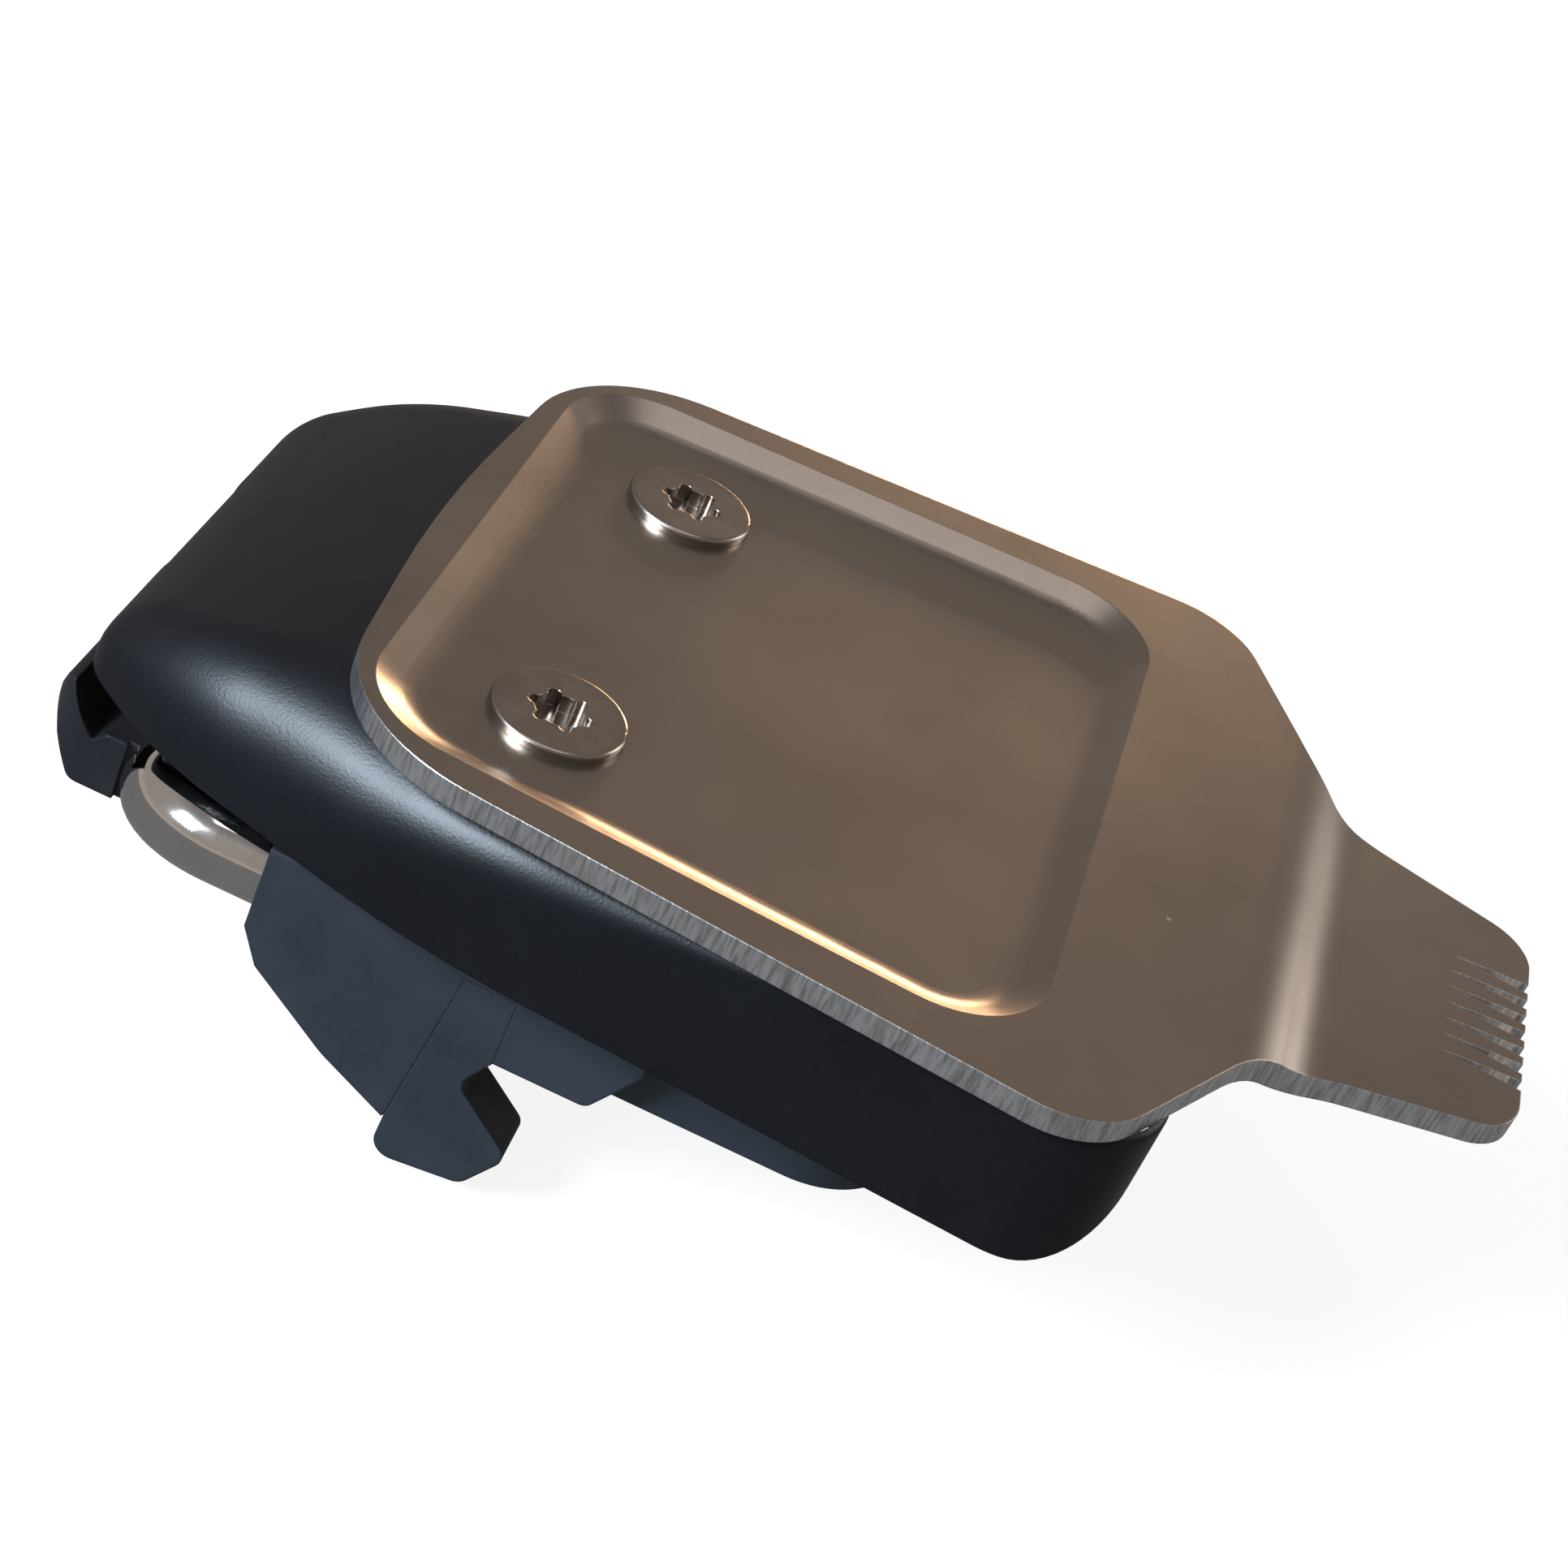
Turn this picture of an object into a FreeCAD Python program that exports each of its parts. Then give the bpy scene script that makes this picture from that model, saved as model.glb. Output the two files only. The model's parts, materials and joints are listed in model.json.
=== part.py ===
import FreeCAD, Part
import math
import os

# Lever cam cleat for small line. Millimetres, +Z up.
# The origin is on the deck face, below the screws that hold the thumb plate.
# +X points to the thumb tongue and the line runs along X, through the middle.

# Thumb plate, one stamped sheet
sheet = 1.5
plateTop = 18.5
plateLeft = -10.6
plateBow = 1.8
plateLeftHalf = 24.5
plateRight = 35.0
plateRightHalf = 29.3
plateLeftRound = 10.4
plateRightRound = 6.0
bowRound = 120.0
neckX = 43.4
neckHalf = 13.9
neckRound = 12.0
tongueEnd = 58.2
tongueHalf = 9.9
tongueRound = 3.6
bendStart = 40.6
bendLength = 5.9
bendDrop = 1.7
recessLeft = -7.6
recessRight = 28.1
recessLeftHalf = 20.5
recessRightHalf = 23.0
recessRound = 4.0
recessDepth = 1.2
recessFlare = 2.2
recessBlend = 3.0
grooveCount = 7
groovePitch = 1.7
grooveLength = 5.0
grooveWidth = 1.3
grooveDepth = 0.6

# Screws through the plate
screwX = 0.0
screwY = 13.85
headRadius = 4.0
headRise = 0.6
headRound = 0.25
neckRadius = 2.4
shankRadius = 2.0
shankLength = 8.5
lobeCount = 6
lobeReach = 1.95
lobeRadius = 0.42
lobeCore = 1.5
lobeDepth = 1.1
insertRadius = 3.0
insertLength = 5.4

# Lever shell
shellWall = 1.8
shellTopWall = 2.0
shellBottom = 7.7
shellLeft = -25.8
shellLeftHalf = 14.6
shellLeftRound = 4.0
shellKneeX = -19.5
shellKneeHalf = 19.6
shellKneeRound = 25.0
shellWaistX = -2.0
shellWaistHalf = 25.3
shellWaistRound = 60.0
shellRight = 38.6
shellRightHalf = 28.6
shellRightRound = 6.0
shellTailRound = 5.0
slopeStart = -11.3
slopeMidX = -18.5
slopeMidZ = 15.0
slopeEndZ = 11.7
slopeRound = 14.0
shellEndRound = 3.2
foldRound = 3.5
foldEnd = 1.0
archHalf = 6.2
archTop = 10.7
bossRadius = 4.6
bossBottom = 7.0

# Hinge
hingeX = -19.0
hingeZ = 8.6
hingeRange = 35.0
pinRadius = 2.0
pinHeadRadius = 2.8
pinHead = 0.6
pinInner = 5.4
springRoom = 3.4
knuckleWidth = 2.0
knuckleRadius = 3.4
cheekWidth = 1.9
cheekRadius = 3.2
sideGap = 0.3
pinOvershoot = 1.1
clipWidth = 0.5
clipRadius = 2.9
clipGrooveRadius = 1.7
clipSlot = 2.6
bushWall = 0.45
runningGap = 0.05
springWire = 0.6
springRadius = 3.1
springPitch = 1.0
springTurns = 2.25
springStub = 1.2
springHoleGap = 0.1

# Base
floorThick = 2.0
floorHalf = 20.0
floorRight = 28.0
floorRound = 6.0
rimWidth = 1.8
rimTop = 3.2
padHalf = 22.0
padInner = 18.5
padTop = 7.0
blockLeft = -11.0
blockFootX = -9.7
stepDrop = 0.9
blockFaceBottom = 1.4
keelX = -4.5
keelDrop = 4.6
seamTopX = 1.5
seamTopZ = 4.5
seamFootX = 0.1
seamFootDrop = 6.9
webRight = 12.6
webChamferX = 2.2
webChamferZ = 3.5
cheekLeft = -20.6
cheekRight = -15.4
socketHalf = 14.6
socketTop = 5.3
mountX = 20.0
mountY = 13.0
mountHoleRadius = 2.65
mountBossRadius = 5.0
tongueBottomLeft = -24.2
tongueBottomHalf = 12.0
tongueBottomThick = 1.5

# Hook feet
footHeelX = 0.0
footSoleDrop = 9.7
footSoleRise = 0.7
footToeX = 7.6
footToeDrop = 5.9
footSoleX = 5.6
footInstepX = 3.3
footInstepDrop = 2.4
footTopX = 4.7
footRound = 1.2
footScrewX = 3.1
footScrewZ = 2.2

# Nose and rods
noseLeft = -27.2
noseRight = -20.8
noseHalf = 15.0
noseTop = 6.4
noseTopX = -26.6
noseBrowZ = 4.5
noseChinX = -26.3
noseChinZ = 2.4
noseThroatX = -24.8
noseFloorTop = 4.0
noseRound = 0.9
noseCornerRound = 2.4
notchHalf = 5.8
notchFloor = 3.0
sweepGap = 0.4
sweepMargin = 4.0
noseScrewX = -22.6
noseScrewY = 9.5
noseScrewTop = 3.4
rodRadius = 2.5
rodZ = 4.2
rodTilt = 16.0
rodX = -19.2
rodY = 19.5
rodBend = 5.0
tenonRadius = 1.6
tenonLength = 2.6

# Jaw and bed
jawLeft = 3.0
jawRight = 17.0
jawHalf = 6.0
jawFlange = 5.4
jawFlangeThick = 2.0
jawGap = 0.5
toothCount = 7
toothDepth = 0.9
bedLeft = -8.0
bedRight = 24.5
bedHalf = 8.0
bedThick = 1.2
bedRound = 2.0
bedInset = 2.6
smallShank = 1.25
smallHead = 2.3
smallHeadDeep = 1.2
bumperRadius = 3.0
jawScrewBite = 1.6

bedTop = floorThick + bedThick
shellTop = plateTop - sheet
ceiling = shellTop - recessDepth - shellTopWall
recessFloor = plateTop - recessDepth
knuckleInner = pinInner + pinHead + springRoom
knuckleOuter = knuckleInner + knuckleWidth
cheekInner = knuckleOuter + sideGap
cheekOuter = cheekInner + cheekWidth
pinOuter = cheekOuter + pinOvershoot
jawTop = ceiling
sides = (-1, 1)


def flat(u, v, level=0.0):
    return FreeCAD.Vector(u, v, level)


def upright(u, v, level=0.0):
    return FreeCAD.Vector(u, level, v)


def roundedWire(corners, place, level=0.0):
    """Closed outline through corners (u, v, radius), with an arc at each corner."""
    runs = []
    count = len(corners)
    for index in range(count):
        before = corners[index - 1]
        here = corners[index]
        after = corners[(index + 1) % count]
        inward = FreeCAD.Vector(before[0] - here[0], before[1] - here[1], 0).normalize()
        outward = FreeCAD.Vector(after[0] - here[0], after[1] - here[1], 0).normalize()
        opening = math.acos(max(-1.0, min(1.0, inward.dot(outward))))
        corner = FreeCAD.Vector(here[0], here[1], 0)
        if here[2] <= 0:
            runs.append((corner, None, corner))
            continue
        setback = here[2] / math.tan(opening / 2)
        middle = here[2] / math.sin(opening / 2) - here[2]
        start = corner + inward * setback
        end = corner + outward * setback
        top = corner + (inward + outward).normalize() * middle
        runs.append((start, top, end))
    edges = []
    for index in range(count):
        start, top, end = runs[index]
        following = runs[(index + 1) % count][0]
        if top is not None:
            points = [place(point.x, point.y, level) for point in (start, top, end)]
            edges.append(Part.Arc(*points).toShape())
        if end.distanceToPoint(following) > 1e-6:
            edges.append(Part.makeLine(place(end.x, end.y, level), place(following.x, following.y, level)))
    return Part.Wire(Part.__sortEdges__(edges))


def mirrored(corners):
    """The corners of one side, then the same corners across the XZ plane."""
    return corners + [(x, -y, size) for x, y, size in reversed(corners) if abs(y) > 1e-9]


def slab(corners, bottom, top):
    """An outline in plan, pulled up from bottom to top."""
    face = Part.Face(roundedWire(corners, flat, bottom))
    return face.extrude(FreeCAD.Vector(0, 0, top - bottom))


def crossSlab(corners, near, far):
    """An outline in side view, pulled along Y from near to far."""
    face = Part.Face(roundedWire(corners, upright, near))
    return face.extrude(FreeCAD.Vector(0, far - near, 0))


def block(left, right, near, far, bottom, top):
    corner = FreeCAD.Vector(left, min(near, far), bottom)
    return Part.makeBox(right - left, abs(far - near), top - bottom, corner)


def post(radius, x, y, bottom, top):
    return Part.makeCylinder(radius, top - bottom, FreeCAD.Vector(x, y, bottom))


def cross(radius, x, z, near, far):
    """A cylinder along Y."""
    start = FreeCAD.Vector(x, min(near, far), z)
    return Part.makeCylinder(radius, abs(far - near), start, FreeCAD.Vector(0, 1, 0))


def acrossY(shape):
    return shape.mirror(FreeCAD.Vector(0, 0, 0), FreeCAD.Vector(0, 1, 0))


def bothSides(shape):
    return [shape, acrossY(shape)]


def joined(shapes):
    whole = shapes[0]
    for shape in shapes[1:]:
        whole = whole.fuse(shape)
    return whole.removeSplitter()


def without(shape, tools):
    for tool in tools:
        shape = shape.cut(tool)
    return shape


def save(name, shape):
    solids = shape.Solids
    shape = Part.makeCompound(solids) if len(solids) > 1 else solids[0]
    shape.exportStep("parts/" + name + ".step")
    valid = "valid" if shape.isValid() else "INVALID"
    print(name, len(solids), "solids", valid, round(shape.Volume, 1))


def plateOutline():
    return mirrored([
        (plateLeft - plateBow, 0.0, bowRound),
        (plateLeft, -plateLeftHalf, plateLeftRound),
        (plateRight, -plateRightHalf, plateRightRound),
        (neckX, -neckHalf, neckRound),
        (tongueEnd, -tongueHalf, tongueRound),
    ])


def recessTool(top, grow):
    """The tapered space of the stamped recess, with its floor recessDepth below top."""
    levels = []
    for flare, level in ((0.0, top - recessDepth), (recessFlare, top)):
        out = flare + grow
        corners = mirrored([
            (recessLeft - out, -(recessLeftHalf + out), recessRound + out),
            (recessRight + out, -(recessRightHalf + out), recessRound + out),
        ])
        levels.append(roundedWire(corners, flat, level))
    tool = Part.makeLoft(levels, True, True)
    floorEdges = [edge for edge in tool.Edges if abs(edge.BoundBox.ZMax - (top - recessDepth)) < 1e-4]
    return tool.makeFillet(recessBlend, floorEdges)


def sheetSide():
    """Side view of the sheet: flat, an S-bend down, then the flat tongue."""
    turn = 2 * math.atan(bendDrop / bendLength)
    mean = bendLength / (2 * math.sin(turn))
    far = tongueEnd + sheet
    near = plateLeft - plateBow - sheet
    bendEnd = bendStart + bendLength
    edges = []
    lines = []
    for level, sign in ((plateTop, 1), (plateTop - sheet, -1)):
        first = mean + sign * sheet / 2
        second = mean - sign * sheet / 2
        middleX = bendStart + first * math.sin(turn)
        middleZ = level - first * (1 - math.cos(turn))
        quarterX = bendStart + first * math.sin(turn / 2)
        quarterZ = level - first * (1 - math.cos(turn / 2))
        lateX = bendEnd - second * math.sin(turn / 2)
        lateZ = level - bendDrop + second * (1 - math.cos(turn / 2))
        low = level - bendDrop
        edges.append(Part.makeLine(upright(near, level), upright(bendStart, level)))
        edges.append(Part.Arc(upright(bendStart, level), upright(quarterX, quarterZ),
                              upright(middleX, middleZ)).toShape())
        edges.append(Part.Arc(upright(middleX, middleZ), upright(lateX, lateZ),
                              upright(bendEnd, low)).toShape())
        edges.append(Part.makeLine(upright(bendEnd, low), upright(far, low)))
        lines.append((near, level, far, low))
    edges.append(Part.makeLine(upright(near, lines[0][1]), upright(near, lines[1][1])))
    edges.append(Part.makeLine(upright(far, lines[0][3]), upright(far, lines[1][3])))
    return Part.Wire(Part.__sortEdges__(edges))


def thumbPlate():
    side = Part.Face(sheetSide())
    side.translate(FreeCAD.Vector(0, -plateRightHalf - sheet, 0))
    sheetSolid = side.extrude(FreeCAD.Vector(0, 2 * (plateRightHalf + sheet), 0))
    blank = sheetSolid.common(slab(plateOutline(), plateTop - 3 * sheet, plateTop + sheet))
    recess = recessTool(plateTop, 0.0)
    bulge = recess.copy()
    bulge.translate(FreeCAD.Vector(0, 0, -sheet))
    plate = blank.fuse(bulge).cut(recess)
    plate = without(plate, [post(neckRadius, screwX, side * screwY, 0, plateTop) for side in sides])
    tipTop = plateTop - bendDrop
    for index in range(grooveCount):
        y = (index - (grooveCount - 1) / 2) * groovePitch
        corners = [
            (tongueEnd - grooveLength, y, 0),
            (tongueEnd + sheet, y - grooveWidth / 2, 0),
            (tongueEnd + sheet, y + grooveWidth / 2, 0),
        ]
        plate = plate.cut(slab(corners, tipTop - grooveDepth, tipTop + sheet))
    return plate


def lobes(x, y, bottom, top):
    """The six-lobed driver socket."""
    parts = [post(lobeCore, x, y, bottom, top)]
    reach = lobeReach - lobeRadius
    for index in range(lobeCount):
        angle = 2 * math.pi * index / lobeCount
        parts.append(post(lobeRadius, x + reach * math.cos(angle), y + reach * math.sin(angle), bottom, top))
    return joined(parts)


def plateScrew(y):
    top = recessFloor + headRise
    head = post(headRadius, screwX, y, recessFloor, top)
    rim = [edge for edge in head.Edges if abs(edge.BoundBox.ZMin - top) < 1e-4]
    head = head.makeFillet(headRound, rim)
    neck = post(neckRadius, screwX, y, recessFloor - sheet, recessFloor)
    shank = post(shankRadius, screwX, y, recessFloor - shankLength, recessFloor)
    screw = joined([head, neck, shank])
    return screw.cut(lobes(screwX, y, top - lobeDepth, top + headRise))


def plateInsert(y):
    top = recessFloor - sheet - shellTopWall / 4
    outer = post(insertRadius, screwX, y, top - insertLength, top)
    return outer.cut(post(shankRadius, screwX, y, top - insertLength, top))


def shellPlan():
    return mirrored([
        (shellLeft, -shellLeftHalf, shellLeftRound),
        (shellKneeX, -shellKneeHalf, shellKneeRound),
        (shellWaistX, -shellWaistHalf, shellWaistRound),
        (shellRight, -shellRightHalf, shellRightRound),
    ])


def shellOuter():
    """The shell with no hollow: soft folds at the left, a plain edge under the plate."""
    side = crossSlab([
        (shellLeft, shellBottom, 0),
        (shellRight, shellBottom, shellTailRound),
        (shellRight, shellTop, 0),
        (slopeStart, shellTop, slopeRound),
        (slopeMidX, slopeMidZ, slopeRound),
        (shellLeft, slopeEndZ, shellEndRound),
    ], -shellRightHalf - 1, shellRightHalf + 1)
    solid = slab(shellPlan(), shellBottom, shellTop).common(side)
    folds = []
    for edge in solid.Edges:
        box = edge.BoundBox
        onSide = box.YMax < -shellLeftHalf + shellLeftRound or box.YMin > shellLeftHalf - shellLeftRound
        high = box.ZMin > shellBottom + 1 and box.XMax < slopeStart + 2
        if onSide and high and box.XLength > 0.01:
            folds.append(edge)
    folded = solid.makeFillet(foldRound, folds)
    width = shellRightHalf + 1
    left = block(shellLeft - 1, foldEnd, -width, width, 0, plateTop)
    right = block(foldEnd, shellRight + 1, -width, width, 0, plateTop)
    return folded.common(left).fuse(solid.common(right))


def shellInner():
    plan = Part.Face(roundedWire(shellPlan(), flat, 0.0)).makeOffset2D(-shellWall)
    hollow = plan.extrude(FreeCAD.Vector(0, 0, ceiling))
    side = crossSlab([
        (shellLeft, -1.0, 0),
        (shellRight, -1.0, 0),
        (shellRight, ceiling, 0),
        (slopeMidX + shellTopWall, ceiling, slopeRound / 2),
        (shellLeft, slopeEndZ - shellTopWall, 0),
    ], -shellRightHalf - 1, shellRightHalf + 1)
    return hollow.common(side)


def knuckle(side):
    near = side * knuckleInner
    far = side * knuckleOuter
    barrel = cross(knuckleRadius, hingeX, hingeZ, near, far)
    web = block(hingeX - knuckleRadius, hingeX + knuckleRadius, near, far, hingeZ, shellTop)
    return barrel.fuse(web)


def lever():
    body = shellOuter()
    shell = body.cut(shellInner())
    extras = [knuckle(side) for side in sides]
    extras += [post(bossRadius, screwX, side * screwY, bossBottom, shellTop) for side in sides]
    for extra in extras:
        low = extra.common(block(shellLeft, shellRight, -shellRightHalf, shellRightHalf, 0, ceiling - 3))
        high = extra.common(body)
        shell = shell.fuse(low.fuse(high))
    shell = shell.cut(recessTool(shellTop, 0.1))
    for side in sides:
        near = side * (knuckleInner - 0.1)
        far = side * (knuckleOuter + 0.1)
        shell = shell.cut(cross(pinRadius + runningGap + bushWall, hingeX, hingeZ, near, far))
        hole = springWire / 2 + springHoleGap
        shell = shell.cut(cross(hole, hingeX, hingeZ + springRadius, near, side * (knuckleInner + springStub + 0.2)))
        shell = shell.cut(post(insertRadius, screwX, side * screwY, bossBottom + 1.5, shellTop))
    shell = shell.cut(block(shellLeft - 1, hingeX - 4, -archHalf, archHalf, 0, archTop))
    for x in jawScrewPlaces():
        shell = shell.cut(post(smallShank, x, 0, ceiling - 1, ceiling + jawScrewBite))
    return shell.removeSplitter()


def jawScrewPlaces():
    return (jawLeft - jawFlange / 2, jawRight + jawFlange / 2)


def camJaw():
    tip = bedTop + jawGap
    pitch = (jawRight - jawLeft) / toothCount
    corners = [(jawLeft - jawFlange, jawTop, 0), (jawLeft - jawFlange, jawTop - jawFlangeThick, 0),
               (jawLeft, jawTop - jawFlangeThick, 0)]
    for index in range(toothCount):
        x = jawLeft + index * pitch
        corners.append((x, tip, 0))
        corners.append((x + pitch * 0.8, tip + toothDepth, 0))
    corners += [(jawRight, tip + toothDepth, 0), (jawRight, jawTop - jawFlangeThick, 0),
                (jawRight + jawFlange, jawTop - jawFlangeThick, 0), (jawRight + jawFlange, jawTop, 0)]
    jaw = crossSlab(corners, -jawHalf, jawHalf)
    holes = [post(smallShank, x, 0, jawTop - 2 * jawFlangeThick, jawTop + 1) for x in jawScrewPlaces()]
    return without(jaw, holes)


def camScrews():
    screws = []
    under = jawTop - jawFlangeThick
    for x in jawScrewPlaces():
        head = post(smallHead, x, 0, under - smallHeadDeep, under)
        head = head.cut(lobes(x, 0, under - smallHeadDeep, under - smallHeadDeep / 2)
                        .common(post(smallShank, x, 0, 0, jawTop)))
        screws.append(joined([head, post(smallShank, x, 0, under, ceiling + jawScrewBite)]))
    return screws


def knuckleBushes():
    bushes = []
    for side in sides:
        near = side * knuckleInner
        far = side * knuckleOuter
        inner = pinRadius + runningGap
        bushes.append(cross(inner + bushWall, hingeX, hingeZ, near, far).cut(cross(inner, hingeX, hingeZ, near, far)))
    return bushes


def pivotPin(side):
    shank = cross(pinRadius, hingeX, hingeZ, side * pinInner, side * pinOuter)
    head = cross(pinHeadRadius, hingeX, hingeZ, side * pinInner, side * (pinInner + pinHead))
    near = side * (cheekOuter + 0.1)
    far = side * (cheekOuter + 0.1 + clipWidth)
    groove = cross(pinRadius + 1, hingeX, hingeZ, near, far).cut(cross(clipGrooveRadius, hingeX, hingeZ, near, far))
    return shank.fuse(head).cut(groove).removeSplitter()


def pinClip(side):
    near = side * (cheekOuter + 0.1)
    far = side * (cheekOuter + 0.1 + clipWidth)
    ring = cross(clipRadius, hingeX, hingeZ, near, far).cut(cross(clipGrooveRadius, hingeX, hingeZ, near, far))
    slot = block(hingeX, hingeX + 2 * clipRadius, near, far, hingeZ - clipSlot / 2, hingeZ + clipSlot / 2)
    return ring.cut(slot)


def returnSpring():
    """Near side torsion spring: a coil, a leg on the floor and a stub in the knuckle."""
    length = springTurns * springPitch
    start = knuckleInner - sideGap / 2 - springWire / 2 - length
    path = Part.makeHelix(springPitch, length, springRadius)
    rise = math.atan2(springPitch, 2 * math.pi * springRadius)
    heading = FreeCAD.Vector(0, math.cos(rise), math.sin(rise))
    section = Part.Wire(Part.makeCircle(springWire / 2, FreeCAD.Vector(springRadius, 0, 0), heading))
    coil = Part.Wire(path).makePipeShell([section], True, True)
    leg = Part.makeCylinder(springWire / 2, hingeZ - floorThick, FreeCAD.Vector(springRadius, 0, 0),
                            FreeCAD.Vector(0, -1, 0))
    end = FreeCAD.Vector(springRadius * math.cos(2 * math.pi * springTurns),
                         springRadius * math.sin(2 * math.pi * springTurns), length)
    stub = Part.makeCylinder(springWire / 2, springStub, end, FreeCAD.Vector(0, 0, 1))
    spring = coil.fuse(leg).fuse(stub)
    spring = spring.fuse(Part.makeSphere(springWire / 2, FreeCAD.Vector(springRadius, 0, 0)))
    spring = spring.fuse(Part.makeSphere(springWire / 2, end)).removeSplitter()
    spring.rotate(FreeCAD.Vector(0, 0, 0), FreeCAD.Vector(1, 0, 0), 90)
    spring.translate(FreeCAD.Vector(hingeX, -start, hingeZ))
    return spring


def padSide():
    """Side view of the pad and its keel, on each side of the base."""
    return [
        (blockLeft, padTop, 0),
        (blockLeft, blockFaceBottom, 0),
        (blockFootX, -stepDrop, 0.4),
        (keelX, -keelDrop, 6.0),
        (footHeelX, -seamFootDrop, 0),
        (footHeelX + footTopX, 0.0, 0),
        (webRight - webChamferX, 0.0, 0.8),
        (webRight, webChamferZ, 0.8),
        (webRight, padTop, 1.0),
    ]


def footSide():
    return [
        (seamTopX, seamTopZ, 0),
        (seamFootX, -seamFootDrop, 0),
        (footHeelX, -footSoleDrop, footRound),
        (footSoleX, -footSoleDrop + footSoleRise, footRound),
        (footToeX, -footToeDrop, footRound * 0.8),
        (footInstepX, -footInstepDrop, footRound * 0.8),
        (footTopX, 0.0, 0),
        (footTopX, seamTopZ, 0),
    ]


def foot():
    return crossSlab(footSide(), -padHalf, -padInner)


def footScrew():
    shank = cross(smallShank, footScrewX, footScrewZ, -padHalf + 1.2, -padInner)
    head = cross(smallHead, footScrewX, footScrewZ, -padInner, -padInner + smallHeadDeep)
    return shank.fuse(head).removeSplitter()


def baseFrame():
    floor = slab(mirrored([
        (cheekLeft, -socketHalf, 0),
        (rodX + rodBend, -socketHalf, 0),
        (blockLeft, -rodY + rodRadius + sideGap, 0),
        (blockLeft, -floorHalf, 0),
        (floorRight, -floorHalf, floorRound),
    ]), 0, floorThick)
    tongue = block(tongueBottomLeft, cheekLeft + 2, -tongueBottomHalf, tongueBottomHalf, 0, tongueBottomThick)
    solids = [floor, tongue]
    keel = crossSlab(padSide(), -padHalf, -padInner)
    rim = block(webRight - 1, floorRight - floorRound, -floorHalf, -floorHalf + rimWidth, floorThick, rimTop)
    stem = block(cheekLeft, cheekRight, -cheekOuter, -cheekInner, 0, hingeZ)
    barrel = cross(cheekRadius, hingeX, hingeZ, -cheekOuter, -cheekInner)
    socket = block(cheekLeft, cheekRight, -socketHalf, -cheekInner, 0, socketTop)
    boss = post(mountBossRadius, mountX, -mountY, 0, rimTop)
    seat = post(bumperRadius + 1, screwX, -screwY, 0, rimTop)
    for shape in (keel, rim, stem, barrel, socket, boss, seat):
        solids += bothSides(shape)
    frame = joined(solids)
    holes = [
        foot(),
        footScrew(),
        post(mountHoleRadius, mountX, -mountY, -1, rimTop + 1),
        cross(pinRadius, hingeX, hingeZ, -pinOuter, -pinInner),
        *rodTenons(),
        post(bumperRadius + runningGap, screwX, -screwY, floorThick, rimTop),
        screwSpace(noseScrewX, -noseScrewY, noseScrewTop),
    ]
    for hole in holes:
        for tool in bothSides(hole):
            frame = frame.cut(tool)
    for x, y in bedScrewPlaces():
        frame = frame.cut(post(smallShank, x, y, 0.4, floorThick))
    return frame.removeSplitter()


def screwSpace(x, y, top):
    """A small countersunk screw from below, with its head flush with the deck face."""
    head = Part.makeCone(smallHead, smallShank, smallHeadDeep, FreeCAD.Vector(x, y, 0))
    return head.fuse(post(smallShank, x, y, smallHeadDeep, top)).removeSplitter()


def noseFairlead():
    """Two horns beside the notch for the line, on a floor that overlaps the base."""
    nose = crossSlab([
        (noseTopX, noseTop, noseRound / 3),
        (noseLeft, noseBrowZ, noseRound),
        (noseChinX, noseChinZ, noseRound),
        (noseThroatX, 0.0, noseRound),
        (noseRight, 0.0, 0),
        (noseRight, noseFloorTop, 0),
        (noseThroatX + noseRound, noseFloorTop, 0),
        (noseThroatX + noseRound, noseTop, 0),
    ], -noseHalf, noseHalf)
    plan = slab(mirrored([
        (noseLeft, -noseHalf, noseCornerRound),
        (noseRight, -noseHalf, 0),
    ]), -1, noseTop + 1)
    nose = nose.common(plan).cut(sweepTool())
    nose = nose.cut(block(noseLeft - 1, noseRight + 1, -notchHalf, notchHalf, notchFloor, noseTop + 1))
    nose = nose.cut(block(tongueBottomLeft, noseRight + 1, -tongueBottomHalf, tongueBottomHalf,
                          -1, tongueBottomThick))
    for side in sides:
        nose = nose.cut(screwSpace(noseScrewX, side * noseScrewY, noseScrewTop))
        rodSide = sorted([side * socketHalf, side * (noseHalf + 1)])
        nose = nose.cut(block(rodX - rodRadius - sideGap, noseRight + 1, rodSide[0], rodSide[1], -1, noseTop + 1))
    return nose


def leverSweep():
    """Largest distance from the hinge line to the left end of the shell."""
    slope = math.atan2(slopeMidZ - slopeEndZ, slopeMidX - shellLeft)
    setback = shellEndRound * math.tan((math.pi / 2 - slope) / 2)
    centreX = shellLeft + shellEndRound
    centreZ = slopeEndZ - setback
    return math.hypot(centreX - hingeX, centreZ - hingeZ) + shellEndRound


def sweepTool():
    """The space that the left end of the shell passes through as the lever opens."""
    reach = noseHalf + 1
    radius = leverSweep() + sweepGap
    rimDrop = math.degrees(math.atan2(hingeZ - shellBottom, hingeX - shellLeft))
    lowest = math.radians(rimDrop + hingeRange + sweepMargin)
    far = 2 * radius
    sector = crossSlab([
        (hingeX, hingeZ, 0),
        (hingeX - far * math.cos(lowest), hingeZ - far * math.sin(lowest), 0),
        (hingeX - 2 * far, hingeZ, 0),
        (hingeX - far, hingeZ + far, 0),
        (hingeX, hingeZ + far, 0),
    ], -reach, reach)
    return cross(radius, hingeX, hingeZ, -reach, reach).common(sector)


def tilted(shape):
    """Turns a near side rod piece about its own straight leg, so that it falls towards the nose."""
    shape.rotate(FreeCAD.Vector(0, -rodY, rodZ), FreeCAD.Vector(1, 0, 0), -rodTilt)
    return shape


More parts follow.
